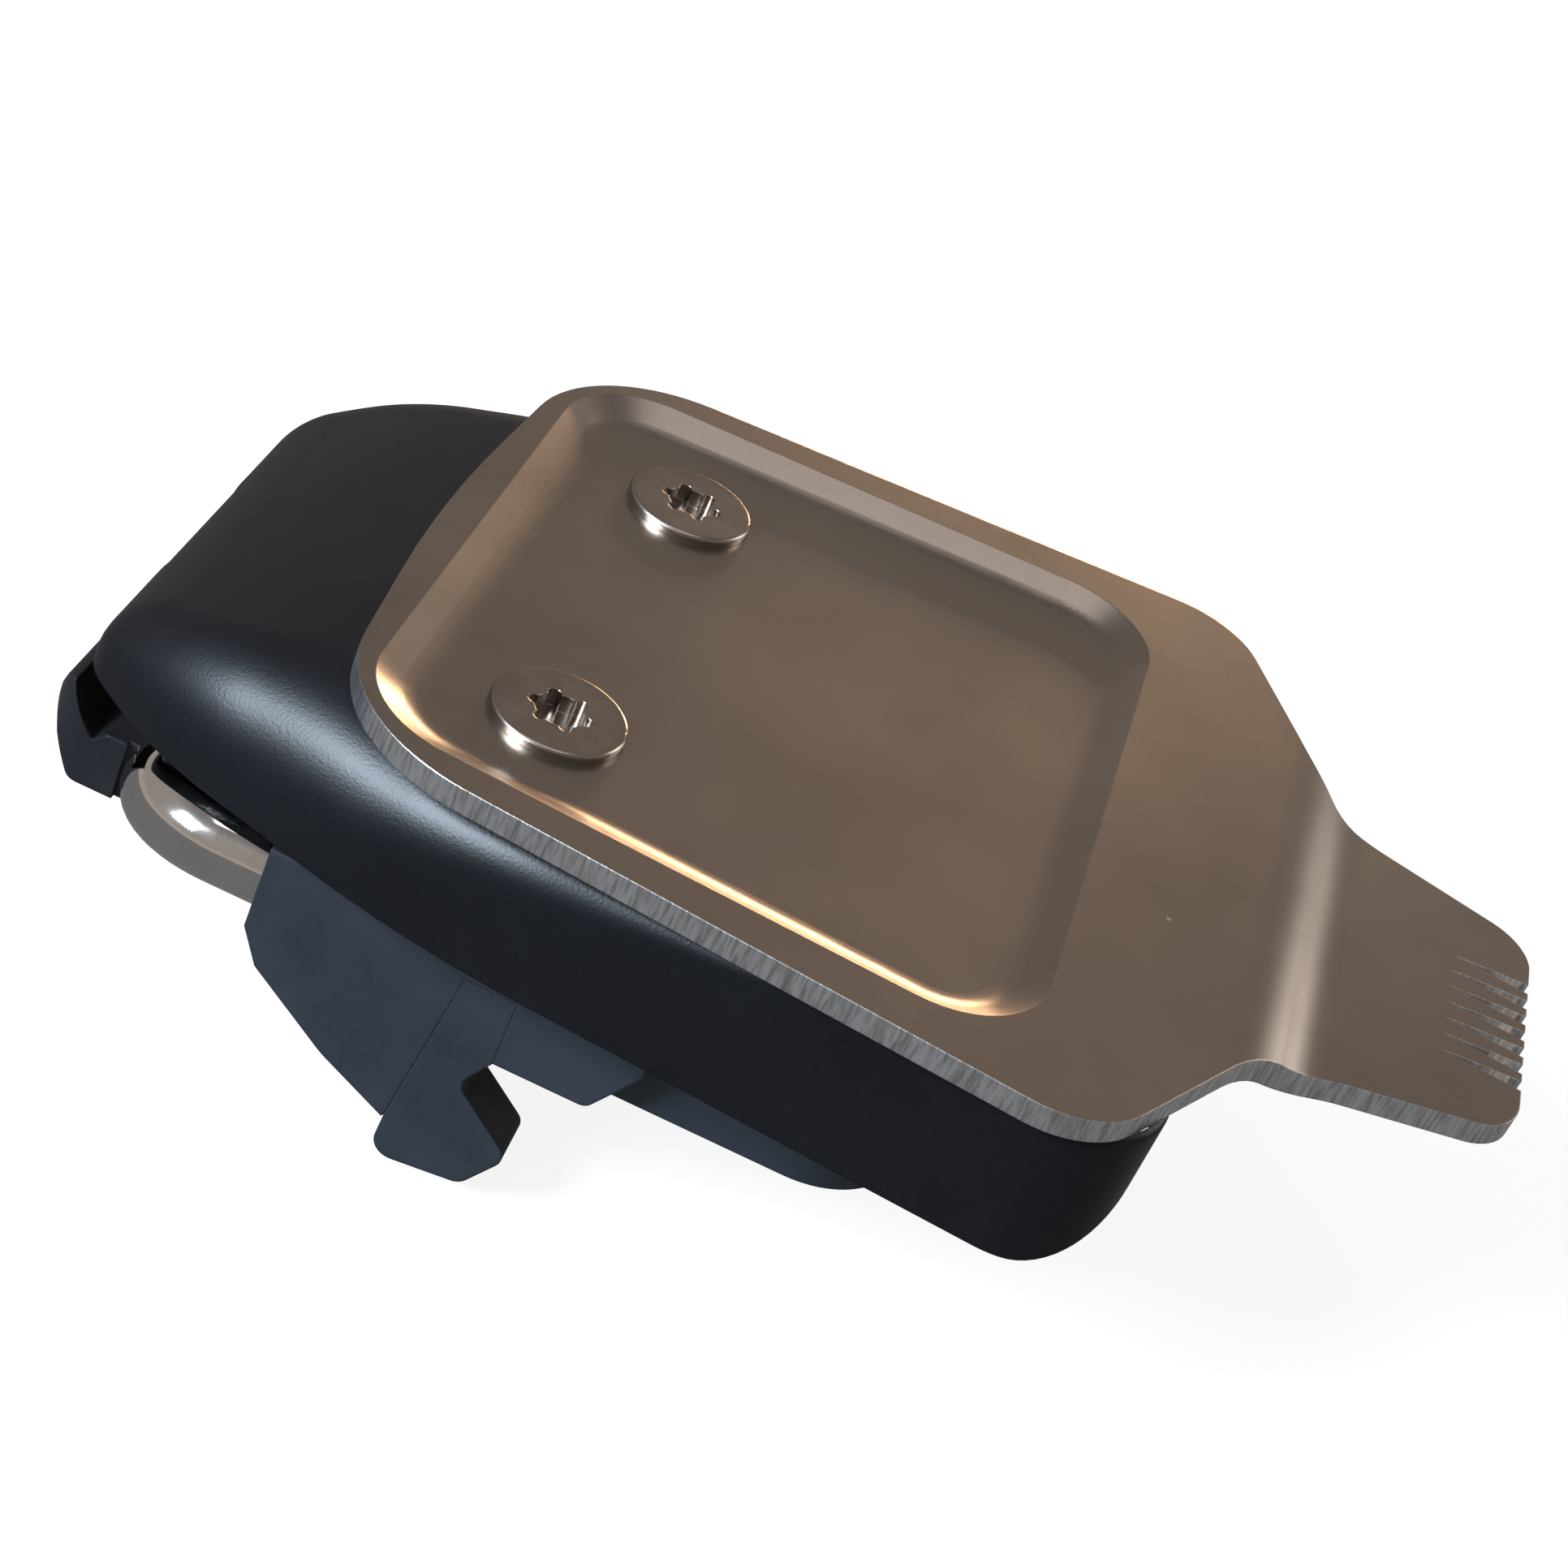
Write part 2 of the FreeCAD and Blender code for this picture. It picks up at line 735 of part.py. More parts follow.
def rodTenons():
    """The thin ends of a near side rod, in the block and in the socket."""
    inBlock = Part.makeCylinder(tenonRadius, tenonLength, flat(blockLeft, -rodY, rodZ), FreeCAD.Vector(1, 0, 0))
    inSocket = cross(tenonRadius, rodX, rodZ, -socketHalf - 1, -socketHalf + tenonLength)
    return [tilted(inBlock), tilted(inSocket)]


def guardRod():
    """Near side rod: from the block, round the corner and into the socket."""
    turnX = rodX + rodBend
    turnY = -rodY + rodBend
    middleX = turnX - rodBend * math.cos(math.pi / 4)
    middleY = turnY - rodBend * math.sin(math.pi / 4)
    centre = [
        Part.makeLine(flat(blockLeft, -rodY, rodZ), flat(turnX, -rodY, rodZ)),
        Part.Arc(flat(turnX, -rodY, rodZ), flat(middleX, middleY, rodZ), flat(rodX, turnY, rodZ)).toShape(),
    ]
    section = Part.Wire(Part.makeCircle(rodRadius, flat(blockLeft, -rodY, rodZ), FreeCAD.Vector(1, 0, 0)))
    rod = tilted(Part.Wire(centre).makePipeShell([section], True, True))
    rod = rod.cut(block(noseLeft, blockLeft, -socketHalf, 0, 0, shellTop))
    return joined([rod] + rodTenons())


def bedScrewPlaces():
    xs = (bedLeft + bedInset, bedRight - bedInset)
    ys = (-bedHalf + bedInset, bedHalf - bedInset)
    return [(x, y) for x in xs for y in ys]


def bedScrew(x, y):
    head = Part.makeCone(smallShank, smallHead, bedThick, FreeCAD.Vector(x, y, floorThick))
    return head.fuse(post(smallShank, x, y, 0.4, floorThick)).removeSplitter()


def bedPlate():
    plate = slab(mirrored([
        (bedLeft, -bedHalf, bedRound),
        (bedRight, -bedHalf, bedRound),
    ]), floorThick, bedTop)
    return without(plate, [bedScrew(x, y) for x, y in bedScrewPlaces()])


def restBumpers():
    return [post(bumperRadius, screwX, side * screwY, floorThick, bossBottom - sideGap) for side in sides]


def group(shapes):
    return Part.makeCompound(shapes)


os.makedirs("parts", exist_ok=True)
save("base_frame", baseFrame())
save("nose_fairlead", noseFairlead())
save("nose_screws", group([screwSpace(noseScrewX, side * noseScrewY, noseScrewTop) for side in sides]))
save("guard_rod_near", guardRod())
save("guard_rod_far", acrossY(guardRod()))
save("hook_foot_near", foot().cut(footScrew()))
save("hook_foot_far", acrossY(foot().cut(footScrew())))
save("foot_screws", group(bothSides(footScrew())))
save("bed_plate", bedPlate())
save("bed_screws", group([bedScrew(x, y) for x, y in bedScrewPlaces()]))
save("pivot_pin_near", pivotPin(-1))
save("pivot_pin_far", pivotPin(1))
save("pin_clips", group([pinClip(side) for side in sides]))
save("return_spring_near", returnSpring())
save("return_spring_far", acrossY(returnSpring()))
save("rest_bumpers", group(restBumpers()))
save("lever_shell", lever())
save("thumb_plate", thumbPlate())
save("plate_screws", group([plateScrew(side * screwY) for side in sides]))
save("plate_inserts", group([plateInsert(side * screwY) for side in sides]))
save("knuckle_bushes", group(knuckleBushes()))
save("cam_jaw", camJaw())
save("cam_screws", group(camScrews()))
print("lever sweeps", round(leverSweep(), 2), "mm about the hinge, opening", hingeRange, "degrees")
print("least gap between spring turns", round(springPitch - springWire, 2), "mm")
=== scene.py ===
import json
import math

import bpy
from mathutils import Matrix, Vector


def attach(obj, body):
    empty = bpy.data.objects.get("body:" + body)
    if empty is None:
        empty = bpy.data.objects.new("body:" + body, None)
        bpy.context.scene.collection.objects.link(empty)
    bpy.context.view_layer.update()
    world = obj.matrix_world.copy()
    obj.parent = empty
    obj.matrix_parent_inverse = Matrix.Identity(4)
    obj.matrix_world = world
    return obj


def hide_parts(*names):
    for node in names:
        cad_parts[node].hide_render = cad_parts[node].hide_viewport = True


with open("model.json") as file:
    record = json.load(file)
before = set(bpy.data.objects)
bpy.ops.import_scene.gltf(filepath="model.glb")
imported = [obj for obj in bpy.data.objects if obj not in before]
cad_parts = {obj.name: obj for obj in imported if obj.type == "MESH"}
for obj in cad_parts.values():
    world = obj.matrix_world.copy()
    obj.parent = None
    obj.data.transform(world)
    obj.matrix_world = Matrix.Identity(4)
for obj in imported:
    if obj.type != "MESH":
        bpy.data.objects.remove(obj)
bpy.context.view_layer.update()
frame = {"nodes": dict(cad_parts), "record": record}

mm = 0.001


# The camera stands in front of the near side, looks down on the plate and is rolled to the left.
cameraSpot = {
    "place": (14.08 * mm, -159.12 * mm, 112.81 * mm),
    "right": (0.9053, 0.2349, 0.3540),
    "up": (-0.4248, 0.4858, 0.7639),
    "lens": 72.80,
    "sensor": 36.0,
}


def placeCamera(spot):
    lens = bpy.data.cameras.new("view")
    lens.lens = spot["lens"]
    lens.sensor_width = spot["sensor"]
    lens.clip_start = 0.005
    lens.clip_end = 20.0
    camera = bpy.data.objects.new("view", lens)
    bpy.context.scene.collection.objects.link(camera)
    right = Vector(spot["right"]).normalized()
    up = Vector(spot["up"])
    up = (up - right * up.dot(right)).normalized()
    back = right.cross(up)
    turn = Matrix((right, up, back)).transposed().to_4x4()
    camera.matrix_world = Matrix.Translation(spot["place"]) @ turn
    bpy.context.scene.camera = camera


placeCamera(cameraSpot)
print("camera placed")


# Lamps: where each one stands from the object, in metres, its width, strength in watts and tint.
lamps = {
    "windowLeft": {"place": (-0.42, -0.42, 0.38), "size": 0.26, "power": 22.0, "tint": (0.72, 0.86, 1.0)},
    "roomRight": {"place": (0.50, 0.42, 0.30), "size": 0.30, "power": 1.6, "tint": (1.0, 0.96, 0.90)},
    "lowWarm": {"place": (0.05, 0.60, 0.03), "size": 0.16, "power": 2.2, "tint": (1.0, 0.62, 0.34)},
    "ceiling": {"place": (0.0, -0.05, 0.75), "size": 0.50, "power": 1.2, "tint": (1.0, 0.98, 0.96)},
}
surroundings = {
    "daylight": (0.42, 0.41, 0.41), "white": 1.0, "floorDepth": 10.2 * mm, "floorSize": 3.0,
    "mirroredFloor": 0.20,
    "room": (0.37, 0.335, 0.305), "ceiling": (0.24, 0.22, 0.22), "horizon": (0.50, 0.43, 0.37),
}


def placeLamps(items):
    for name, item in items.items():
        light = bpy.data.lights.new(name, "AREA")
        light.size = item["size"]
        light.energy = item["power"]
        light.color = item["tint"]
        lamp = bpy.data.objects.new(name, light)
        bpy.context.scene.collection.objects.link(lamp)
        away = Vector(item["place"])
        lamp.matrix_world = Matrix.Translation(away) @ away.to_track_quat("Z", "Y").to_matrix().to_4x4()


class Tree:
    # A small helper that adds shader nodes and joins them.
    def __init__(self, tree):
        self.tree = tree

    def add(self, kind, inputs=None, **settings):
        node = self.tree.nodes.new(kind)
        for key, value in settings.items():
            setattr(node, key, value)
        for key, value in (inputs or {}).items():
            if isinstance(value, bpy.types.NodeSocket):
                self.tree.links.new(value, node.inputs[key])
            else:
                node.inputs[key].default_value = value
        return node

    def math(self, operation, first, second=0.0, clamp=False):
        node = self.add("ShaderNodeMath", {0: first, 1: second}, operation=operation, use_clamp=clamp)
        return node.outputs[0]

    def ramp(self, value, low, high, toLow=0.0, toHigh=1.0):
        inputs = {"Value": value, "From Min": low, "From Max": high, "To Min": toLow, "To Max": toHigh}
        return self.add("ShaderNodeMapRange", inputs, interpolation_type="SMOOTHSTEP").outputs["Result"]

    def mix(self, share, first, second):
        node = self.add("ShaderNodeMix", data_type="RGBA")
        for index, value in ((0, share), (6, first), (7, second)):
            if isinstance(value, bpy.types.NodeSocket):
                self.tree.links.new(value, node.inputs[index])
            else:
                node.inputs[index].default_value = value if index == 0 else (*value, 1.0)
        return node.outputs[2]

    def noise(self, place, scale, detail=3.0, rough=0.5):
        inputs = {"Vector": place, "Scale": scale, "Detail": detail, "Roughness": rough}
        return self.add("ShaderNodeTexNoise", inputs).outputs["Fac"]


def whiteToEyes(tree, dim, mirrored):
    # White to the camera, a room in reflections, plain to everything else.
    path = tree.add("ShaderNodeLightPath")
    seen = tree.math("MAXIMUM", path.outputs["Is Camera Ray"], path.outputs["Is Transmission Ray"])
    others = tree.mix(path.outputs["Is Glossy Ray"], dim, mirrored)
    return tree.mix(seen, others, (surroundings["white"],) * 3)


def roomBands(tree):
    # What polished metal shows: a pale horizon, a dim warm room above it and a bright ceiling.
    heading = tree.add("ShaderNodeTexCoord").outputs["Generated"]
    height = tree.add("ShaderNodeSeparateXYZ", {0: heading}).outputs["Z"]
    low = tree.mix(tree.ramp(height, 0.0, 0.22), surroundings["horizon"], surroundings["room"])
    return tree.mix(tree.ramp(height, 0.66, 0.90), low, surroundings["ceiling"])


def makeWorld():
    world = bpy.data.worlds.new("studio")
    world.use_nodes = True
    bpy.context.scene.world = world
    world.node_tree.nodes.clear()
    tree = Tree(world.node_tree)
    seen = whiteToEyes(tree, surroundings["daylight"], roomBands(tree))
    sky = tree.add("ShaderNodeBackground", {"Color": seen, "Strength": 1.0})
    tree.add("ShaderNodeOutputWorld", {"Surface": sky.outputs[0]})


def makeFloor():
    half = surroundings["floorSize"] / 2
    low = -surroundings["floorDepth"]
    mesh = bpy.data.meshes.new("floor")
    corners = [(-half, -half, low), (half, -half, low), (half, half, low), (-half, half, low)]
    mesh.from_pydata(corners, [], [(0, 1, 2, 3)])
    floor = bpy.data.objects.new("floor", mesh)
    bpy.context.scene.collection.objects.link(floor)
    paint = bpy.data.materials.new("paleFloor")
    paint.use_nodes = True
    paint.node_tree.nodes.clear()
    tree = Tree(paint.node_tree)
    path = tree.add("ShaderNodeLightPath")
    matt = tree.add("ShaderNodeBsdfDiffuse", {"Color": (0.86, 0.86, 0.86, 1.0)})
    bright = tree.ramp(path.outputs["Is Glossy Ray"], 0.0, 1.0, 1.0, surroundings["mirroredFloor"])
    glow = tree.add("ShaderNodeEmission", {"Color": (1.0, 1.0, 1.0, 1.0), "Strength": bright})
    seen = tree.math("MULTIPLY", path.outputs["Is Camera Ray"], 0.88)
    share = tree.math("MAXIMUM", seen, path.outputs["Is Glossy Ray"])
    both = tree.add("ShaderNodeMixShader", {0: share, 1: matt.outputs[0], 2: glow.outputs[0]})
    tree.add("ShaderNodeOutputMaterial", {"Surface": both.outputs[0]})
    mesh.materials.append(paint)


placeLamps(lamps)
makeWorld()
makeFloor()
print("lamps, world and floor made")


def newGroup(name, inputs, outputs):
    group = bpy.data.node_groups.new(name, "ShaderNodeTree")
    for label, kind, value in inputs:
        socket = group.interface.new_socket(label, in_out="INPUT", socket_type=kind)
        if value is not None:
            socket.default_value = value
    for label, kind in outputs:
        group.interface.new_socket(label, in_out="OUTPUT", socket_type=kind)
    tree = Tree(group)
    entry = tree.add("NodeGroupInput")
    leave = tree.add("NodeGroupOutput")
    return group, tree, entry, leave


def makeGrain():
    # Fine grain with broad cloudy patches: out come a colour, a roughness and a height.
    inputs = [
        ("Place", "NodeSocketVector", None),
        ("Light", "NodeSocketColor", None), ("Dark", "NodeSocketColor", None),
        ("Cloud Size", "NodeSocketFloat", 90.0), ("Grain Size", "NodeSocketFloat", 4000.0),
        ("Smooth", "NodeSocketFloat", 0.3), ("Rough", "NodeSocketFloat", 0.4),
    ]
    outputs = [("Color", "NodeSocketColor"), ("Roughness", "NodeSocketFloat"), ("Height", "NodeSocketFloat")]
    group, tree, entry, leave = newGroup("grain", inputs, outputs)
    place = entry.outputs["Place"]
    cloud = tree.noise(place, entry.outputs["Cloud Size"], 4.0, 0.6)
    grain = tree.noise(place, entry.outputs["Grain Size"], 2.0, 0.6)
    both = tree.math("ADD", tree.math("MULTIPLY", cloud, 0.75), tree.math("MULTIPLY", grain, 0.25))
    share = tree.ramp(both, 0.3, 0.7)
    node = tree.add("ShaderNodeMix", data_type="RGBA")
    group.links.new(share, node.inputs[0])
    group.links.new(entry.outputs["Dark"], node.inputs[6])
    group.links.new(entry.outputs["Light"], node.inputs[7])
    group.links.new(node.outputs[2], leave.inputs["Color"])
    spread = tree.add("ShaderNodeMapRange", {"Value": cloud, "From Min": 0.3, "From Max": 0.7})
    group.links.new(entry.outputs["Smooth"], spread.inputs["To Min"])
    group.links.new(entry.outputs["Rough"], spread.inputs["To Max"])
    group.links.new(spread.outputs["Result"], leave.inputs["Roughness"])
    group.links.new(grain, leave.inputs["Height"])
    return group


def makeSpecks():
    # Sparse dust specks: out comes a mask.
    inputs = [
        ("Place", "NodeSocketVector", None),
        ("Spacing", "NodeSocketFloat", 260.0), ("Size", "NodeSocketFloat", 0.05),
    ]
    group, tree, entry, leave = newGroup("specks", inputs, [("Mask", "NodeSocketFloat")])
    settings = {"Vector": entry.outputs["Place"], "Scale": entry.outputs["Spacing"]}
    cells = tree.add("ShaderNodeTexVoronoi", settings)
    near = tree.math("LESS_THAN", cells.outputs["Distance"], entry.outputs["Size"])
    parts = tree.add("ShaderNodeSeparateColor", {"Color": cells.outputs["Color"]})
    rare = tree.math("GREATER_THAN", parts.outputs[0], 0.80)
    group.links.new(tree.math("MULTIPLY", near, rare), leave.inputs["Mask"])
    return group


grainGroup = makeGrain()
specksGroup = makeSpecks()


def startMaterial(name):
    paint = bpy.data.materials.new(name)
    paint.use_nodes = True
    paint.node_tree.nodes.clear()
    tree = Tree(paint.node_tree)
    place = tree.add("ShaderNodeTexCoord").outputs["Object"]
    return paint, tree, place


def useGroup(tree, group, inputs):
    node = tree.add("ShaderNodeGroup", node_tree=group)
    for key, value in inputs.items():
        if isinstance(value, bpy.types.NodeSocket):
            tree.tree.links.new(value, node.inputs[key])
        else:
            node.inputs[key].default_value = value
    return node


def grained(tree, place, look):
    return useGroup(tree, grainGroup, {
        "Place": place, "Light": (*look["light"], 1.0), "Dark": (*look["dark"], 1.0),
        "Cloud Size": look["clouds"], "Grain Size": look["grain"],
        "Smooth": look["smooth"], "Rough": look["rough"],
    })


def softEdge(tree, height, look):
    # Rounds the sharp edges a little and lays the grain on top.
    edge = tree.add("ShaderNodeBevel", {"Radius": look["edge"]}, samples=4)
    bump = {"Height": height, "Strength": look["bump"], "Distance": look["depth"], "Normal": edge.outputs[0]}
    return tree.add("ShaderNodeBump", bump).outputs[0]


def finishMaterial(tree, color, roughness, normal, **fixed):
    inputs = {"Base Color": color, "Roughness": roughness, "Normal": normal}
    inputs.update({key.replace("_", " "): value for key, value in fixed.items()})
    shader = tree.add("ShaderNodeBsdfPrincipled", inputs)
    tree.add("ShaderNodeOutputMaterial", {"Surface": shader.outputs[0]})


plateLook = {
    "light": (0.250, 0.212, 0.182), "dark": (0.228, 0.192, 0.164), "clouds": 70.0, "grain": 5200.0,
    "smooth": 0.27, "rough": 0.31, "edge": 0.12 * mm, "bump": 0.25, "depth": 0.02 * mm,
    "shear": (0.80, 0.80, 0.82), "shearDark": (0.42, 0.42, 0.41), "shearPitch": 3600.0,
}


def plateSteel(look):
    paint, tree, place = startMaterial("satinPlate")
    grain = grained(tree, place, look)
    facing = tree.add("ShaderNodeSeparateXYZ", {0: tree.add("ShaderNodeTexCoord").outputs["Normal"]})
    upright = tree.ramp(tree.math("ABSOLUTE", facing.outputs["Z"]), 0.25, 0.55, 1.0, 0.0)
    stretch = tree.add("ShaderNodeMapping", {"Vector": place, "Scale": (1.0, 1.0, 0.12)})
    streak = tree.noise(stretch.outputs[0], look["shearPitch"], 2.0, 0.7)
    shear = tree.mix(tree.ramp(streak, 0.28, 0.66), look["shearDark"], look["shear"])
    dust = useGroup(tree, specksGroup, {"Place": place, "Spacing": 110.0, "Size": 0.022})
    color = tree.mix(upright, grain.outputs["Color"], shear)
    color = tree.mix(dust.outputs["Mask"], color, (0.5, 0.48, 0.45))
    torn = tree.math("MULTIPLY", tree.math("MULTIPLY", streak, upright), 4.0)
    height = tree.math("ADD", grain.outputs["Height"], torn)
    finishMaterial(tree, color, grain.outputs["Roughness"], softEdge(tree, height, look), Metallic=1.0)
    return paint


def metal(name, look):
    paint, tree, place = startMaterial(name)
    grain = grained(tree, place, look)
    normal = softEdge(tree, grain.outputs["Height"], look)
    finishMaterial(tree, grain.outputs["Color"], grain.outputs["Roughness"], normal, Metallic=1.0)
    return paint


def moulded(name, look):
    paint, tree, place = startMaterial(name)
    grain = grained(tree, place, look)
    spread = {"Place": place, "Spacing": look["dustSpacing"], "Size": look["dustSize"]}
    dust = useGroup(tree, specksGroup, spread)
    color = tree.mix(dust.outputs["Mask"], grain.outputs["Color"], look["dust"])
    normal = softEdge(tree, grain.outputs["Height"], look)
    finishMaterial(tree, color, grain.outputs["Roughness"], normal, Specular_IOR_Level=look["shine"])
    return paint


screwLook = {
    "light": (0.270, 0.235, 0.205), "dark": (0.225, 0.190, 0.165), "clouds": 300.0, "grain": 6000.0,
    "smooth": 0.20, "rough": 0.28, "edge": 0.10 * mm, "bump": 0.15, "depth": 0.01 * mm,
}
steelLook = {
    "light": (0.52, 0.51, 0.50), "dark": (0.42, 0.41, 0.40), "clouds": 200.0, "grain": 5000.0,
    "smooth": 0.24, "rough": 0.34, "edge": 0.10 * mm, "bump": 0.15, "depth": 0.01 * mm,
}
chromeLook = {
    "light": (0.72, 0.71, 0.70), "dark": (0.62, 0.61, 0.60), "clouds": 160.0, "grain": 3000.0,
    "smooth": 0.04, "rough": 0.10, "edge": 0.05 * mm, "bump": 0.04, "depth": 0.01 * mm,
}
brassLook = {
    "light": (0.62, 0.44, 0.19), "dark": (0.50, 0.34, 0.14), "clouds": 200.0, "grain": 4000.0,
    "smooth": 0.24, "rough": 0.36, "edge": 0.08 * mm, "bump": 0.15, "depth": 0.01 * mm,
}
shellLook = {
    "light": (0.0026, 0.0027, 0.0036), "dark": (0.0018, 0.0019, 0.0025), "clouds": 60.0, "grain": 5200.0,
    "smooth": 0.33, "rough": 0.40, "edge": 0.25 * mm, "bump": 0.45, "depth": 0.03 * mm,
    "dust": (0.35, 0.35, 0.36), "dustSpacing": 90.0, "dustSize": 0.018, "shine": 0.16,
}
baseLook = {
    "light": (0.010, 0.012, 0.017), "dark": (0.007, 0.009, 0.012), "clouds": 120.0, "grain": 2600.0,
    "smooth": 0.46, "rough": 0.58, "edge": 0.25 * mm, "bump": 0.30, "depth": 0.03 * mm,
    "dust": (0.20, 0.20, 0.20), "dustSpacing": 140.0, "dustSize": 0.020, "shine": 0.20,
}
footLook = {
    **baseLook, "light": (0.010, 0.012, 0.016), "dark": (0.007, 0.009, 0.012),
}
noseLook = {
    **baseLook, "light": (0.007, 0.007, 0.008), "dark": (0.005, 0.005, 0.006), "smooth": 0.34, "rough": 0.44,
}
rubberLook = {
    **baseLook, "light": (0.020, 0.020, 0.020), "dark": (0.013, 0.013, 0.013), "smooth": 0.7, "rough": 0.8,
}

finishes = {
    "satin_stainless": plateSteel(plateLook),
    "screw_steel": metal("screwSteel", screwLook),
    "steel": metal("plainSteel", steelLook),
    "chrome": metal("polishedRod", chromeLook),
    "brass": metal("turnedBrass", brassLook),
    "shell_black": moulded("blackShell", shellLook),
    "base_plastic": moulded("baseMoulding", baseLook),
    "foot_plastic": moulded("footMoulding", footLook),
    "nose_plastic": moulded("noseMoulding", noseLook),
    "rubber": moulded("stopRubber", rubberLook),
}


def dressNodes():
    for entry in frame["record"]["subparts"]:
        node = frame["nodes"][entry["node"]]
        for slot in node.material_slots:
            slot.material = finishes[entry["material_slot"]]


dressNodes()
print("materials laid on", len(frame["nodes"]), "nodes")

# The lever's shell as one soft skin, in mm: its fold is broad at the left and dies out under the plate.
shellSkin = {
    "corners": [(-25.8, -14.6, 4.0), (-19.5, -19.6, 25.0), (-2.0, -25.3, 60.0), (38.6, -28.6, 6.0)],
    "profile": [(-40.0, 5.28), (-18.5, 15.0), (-11.3, 17.0), (60.0, 17.0)], "blend": 2.5,
    "bottom": 7.7, "right": 38.6, "tailRound": 5.0, "wallLeast": 0.3,
    "folds": [(-23.0, 3.4), (-14.0, 6.4), (-8.0, 6.4), (1.0, 3.7), (18.0, 0.4)],
    "step": 0.5, "wallSteps": 4, "foldSteps": 12, "plateFrom": -6.0, "innerGap": 0.7,
    "archHalf": 6.2, "archTop": 10.7, "archTo": -22.5, "cadFold": 3.6, "skinDepth": 0.6,
    "rimBand": 0.35, "rimSlope": 0.25, "sharpFrom": 35,
}


def along(pairs, x):
    # Straight lines between the pairs, level beyond both ends.
    if x <= pairs[0][0]:
        return pairs[0][1]
    for (lowX, low), (highX, high) in zip(pairs, pairs[1:]):
        if x <= highX:
            return low + (high - low) * (x - lowX) / (highX - lowX)
    return pairs[-1][1]


def topAt(skin, x):
    spots = [x + skin["blend"] * step / 4 for step in range(-4, 5)]
    return sum(along(skin["profile"], spot) for spot in spots) / len(spots)


def bottomAt(skin, x):
    past = x - (skin["right"] - skin["tailRound"])
    if past <= 0:
        return skin["bottom"]
    return skin["bottom"] + skin["tailRound"] - math.sqrt(max(0.0, skin["tailRound"] ** 2 - past ** 2))


def foldAt(skin, x):
    spots = [along(skin["folds"], x + step) for step in (-2, -1, 0, 1, 2)]
    return min(sum(spots) / len(spots), topAt(skin, x) - skin["bottom"] - skin["wallLeast"])


def halfOutline(skin):
    # Near half of the outline, from the left middle to the right middle, with arcs at the corners.
    corners = [Vector(corner[:2]) for corner in skin["corners"]]
    ends = [Vector((corners[0].x, 0.0))] + corners + [Vector((corners[-1].x, 0.0))]
    path = [ends[0], Vector((corners[0].x, -skin["archHalf"]))]
    for index, (_, _, size) in enumerate(skin["corners"], 1):
        inward = (ends[index - 1] - ends[index]).normalized()
        outward = (ends[index + 1] - ends[index]).normalized()
        opening = inward.angle(outward)
        start = ends[index] + inward * size / math.tan(opening / 2)
        middle = ends[index] + (inward + outward).normalized() * size / math.sin(opening / 2)
        sweep = math.pi - opening
        steps = max(2, round(size * sweep / skin["step"]))
        for step in range(steps + 1):
            arm = start - middle
            turn = sweep * step / steps
            path.append(middle + Vector((arm.x * math.cos(turn) - arm.y * math.sin(turn),
                                         arm.x * math.sin(turn) + arm.y * math.cos(turn))))
    path.append(ends[-1])
    points = [path[0]]
    for here, there in zip(path, path[1:]):
        parts = max(1, round((there - here).length / (2 * skin["step"])))
        points += [here.lerp(there, part / parts) for part in range(1, parts + 1)]
    return points


def inwardNormals(points):
    normals = []
    for index in range(len(points)):
        before = points[max(index - 1, 0)]
        after = points[min(index + 1, len(points) - 1)]
        way = (after - before).normalized()
        normals.append(Vector((-way.y, way.x)))
    normals[0] = Vector((1.0, 0.0))
    normals[-1] = Vector((-1.0, 0.0))
    return normals


def skinRows(skin, points):
    # One row of points up the wall and over the fold for every point of the outline.
    rows = []
    for spot, inward in zip(points, inwardNormals(points)):
        fold = foldAt(skin, spot.x)
        low = bottomAt(skin, spot.x)
        high = topAt(skin, spot.x) - fold
        shares = [step / skin["wallSteps"] for step in range(skin["wallSteps"])]
        row = [(spot.x, spot.y, low + (high - low) * share) for share in shares]
        for step in range(skin["foldSteps"] + 1):
            angle = math.pi / 2 * step / skin["foldSteps"]
            place = spot + inward * fold * (1 - math.cos(angle))
            row.append((place.x, place.y, topAt(skin, place.x) - fold * (1 - math.sin(angle))))
        rows.append(row)
    return rows


def skinFaces(skin, rows):
    verts = []
    faces = []
    count = len(rows[0])
    for side in (1, -1):
        base = len(verts)
        verts += [(x, side * y, z) for row in rows for x, y, z in row]
        for index in range(len(rows) - 1):
            for level in range(count - 1):
                first = base + index * count + level
                ring = [first, first + count, first + count + 1, first + 1]
                middle = [sum(verts[corner][axis] for corner in ring) / 4 for axis in range(3)]
                inArch = abs(middle[1]) < skin["archHalf"] and middle[0] < skin["archTo"]
                if not (inArch and middle[2] < skin["archTop"]):
                    faces.append(ring if side == 1 else ring[::-1])
    far = len(rows) * count
    for index in range(len(rows) - 1):
        here = index * count + count - 1
        if verts[here + count][0] - verts[here][0] > 0.01 and verts[here][0] < skin["plateFrom"]:
            faces.append([here, here + count, here + count + far, here + far])
    return verts, faces


def insideDepth(points, x, y):
    spot = Vector((x, -abs(y)))
    best = 1e9
    for here, there in zip(points, points[1:]):
        line = there - here
        share = min(1.0, max(0.0, (spot - here).dot(line) / line.length_squared))
        best = min(best, (here + line * share - spot).length)
    return best


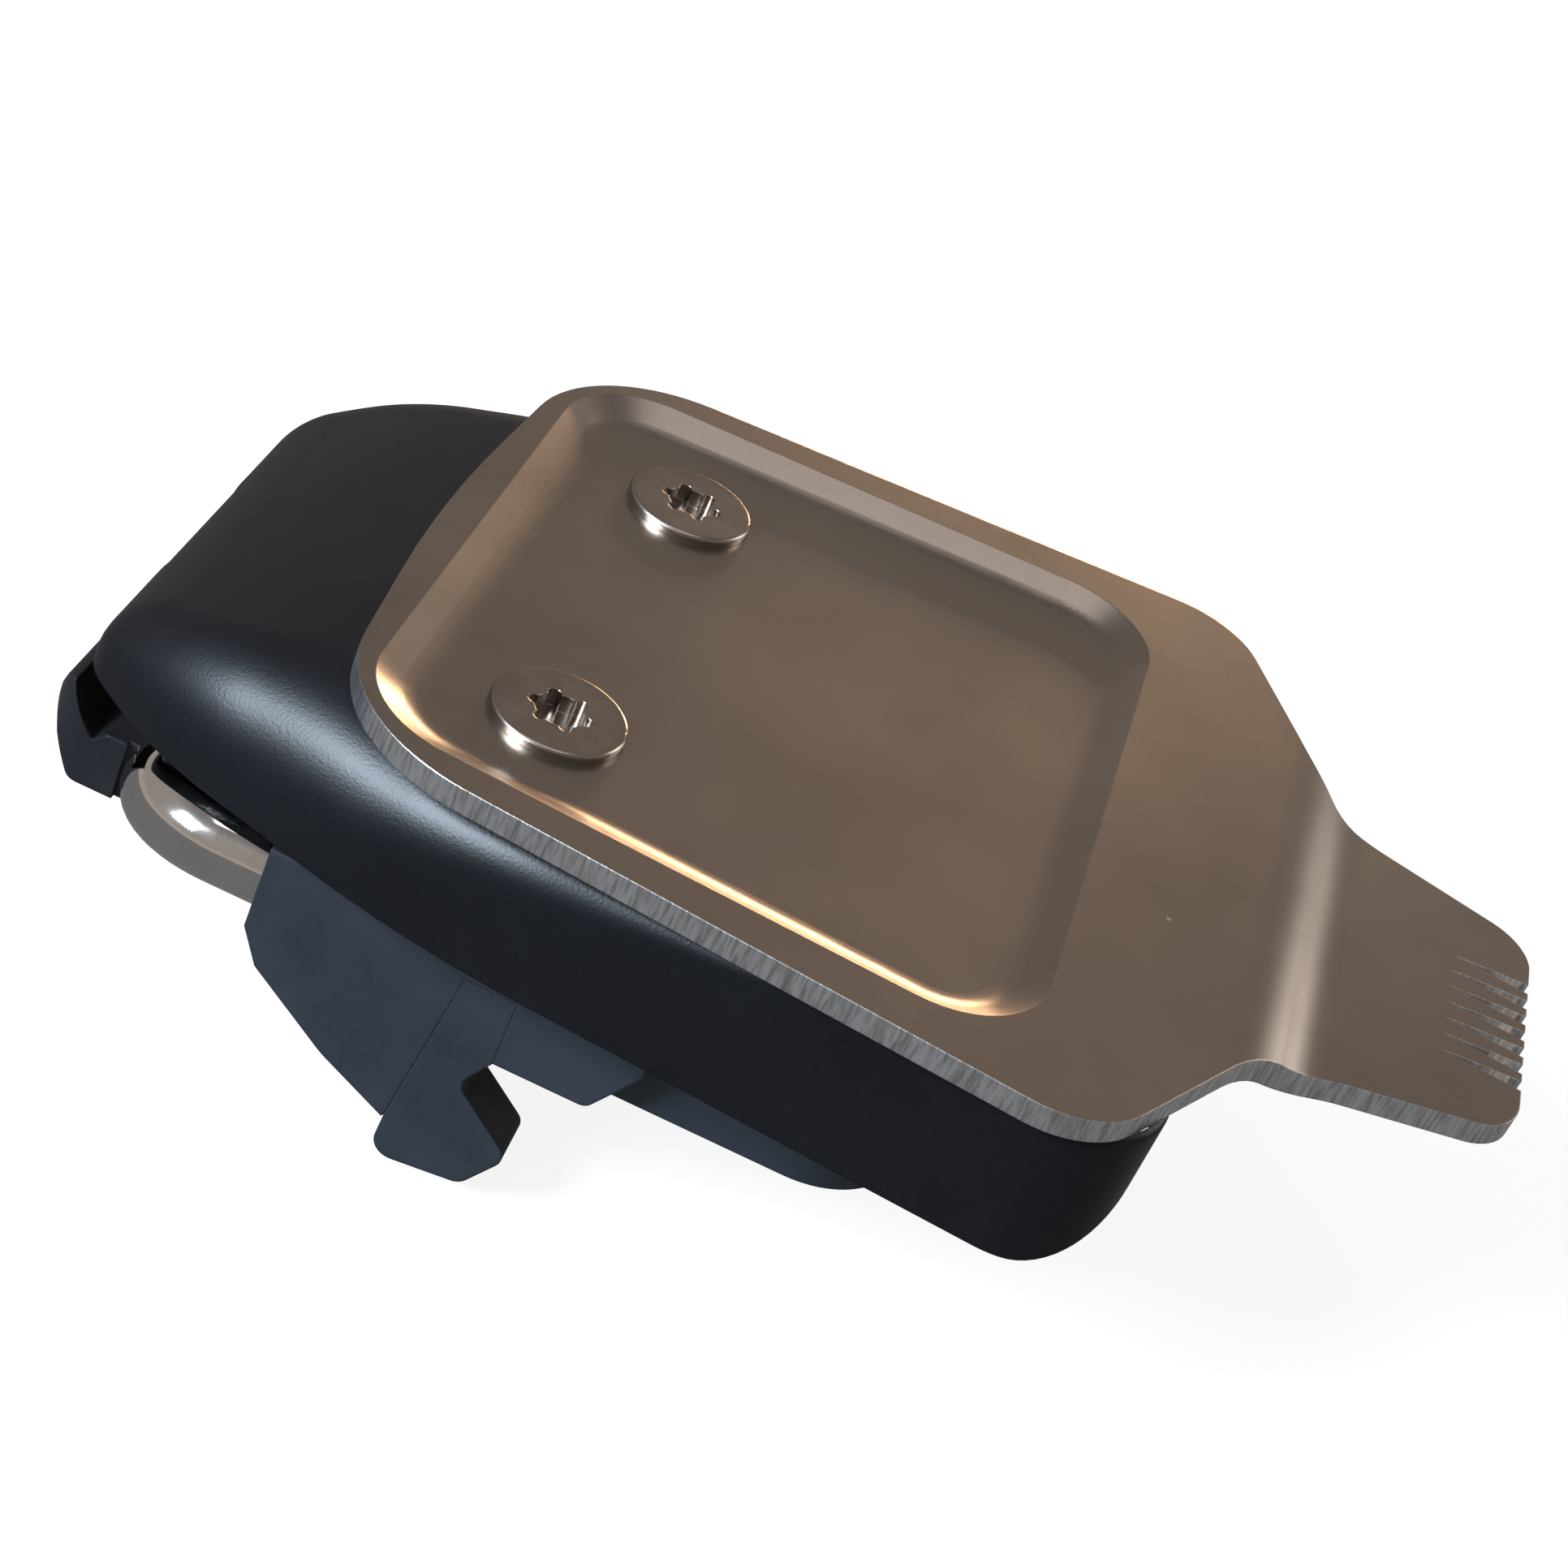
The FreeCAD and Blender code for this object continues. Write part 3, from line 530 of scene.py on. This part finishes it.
def keptInside(skin, points, node):
    # The hollow, the knuckles and the bosses, as the solid has them.
    source = node.data
    spots = [node.matrix_world @ vert.co / mm for vert in source.vertices]
    depths = [insideDepth(points, spot.x, spot.y) for spot in spots]
    faces = []
    for polygon in source.polygons:
        ring = list(polygon.vertices)
        middle = sum((spots[corner] for corner in ring), Vector()) / len(ring)
        depth = insideDepth(points, middle.x, middle.y)
        under = topAt(skin, middle.x) - middle.z
        onRim = abs(middle.z - bottomAt(skin, middle.x)) < skin["rimBand"]
        rim = onRim and abs(polygon.normal.z) > skin["rimSlope"]
        reach = math.hypot(skin["cadFold"] - depth, skin["cadFold"] - under)
        folded = max(depth, under) < skin["cadFold"] and reach > skin["cadFold"] - skin["skinDepth"]
        if rim or not (depth < skin["skinDepth"] or under < skin["skinDepth"] or folded):
            faces.append(ring)
    verts = []
    for spot, depth in zip(spots, depths):
        fold = foldAt(skin, spot.x)
        short = max(0.0, fold - depth)
        high = topAt(skin, spot.x) - (fold - math.sqrt(max(0.0, fold ** 2 - short ** 2)))
        verts.append((spot.x, spot.y, min(spot.z, max(high - skin["innerGap"], skin["bottom"]))))
    return verts, faces


def makeShell(skin):
    points = halfOutline(skin)
    verts, faces = skinFaces(skin, skinRows(skin, points))
    innerVerts, innerFaces = keptInside(skin, points, frame["nodes"]["lever_shell"])
    offset = len(verts)
    verts += innerVerts
    faces += [[corner + offset for corner in ring] for ring in innerFaces]
    mesh = bpy.data.meshes.new("lever_shell_skin")
    mesh.from_pydata([tuple(axis * mm for axis in vert) for vert in verts], [], faces)
    mesh.polygons.foreach_set("use_smooth", [True] * len(mesh.polygons))
    mesh.set_sharp_from_angle(angle=math.radians(skin["sharpFrom"]))
    mesh.materials.append(finishes["shell_black"])
    shell = bpy.data.objects.new("lever_shell_skin", mesh)
    bpy.context.scene.collection.objects.link(shell)
    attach(shell, "lever")
    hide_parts("lever_shell")
    print("shell skin:", len(faces), "faces")


makeShell(shellSkin)


bpy.context.scene.view_settings.view_transform = "Standard"
bpy.context.view_layer.update()
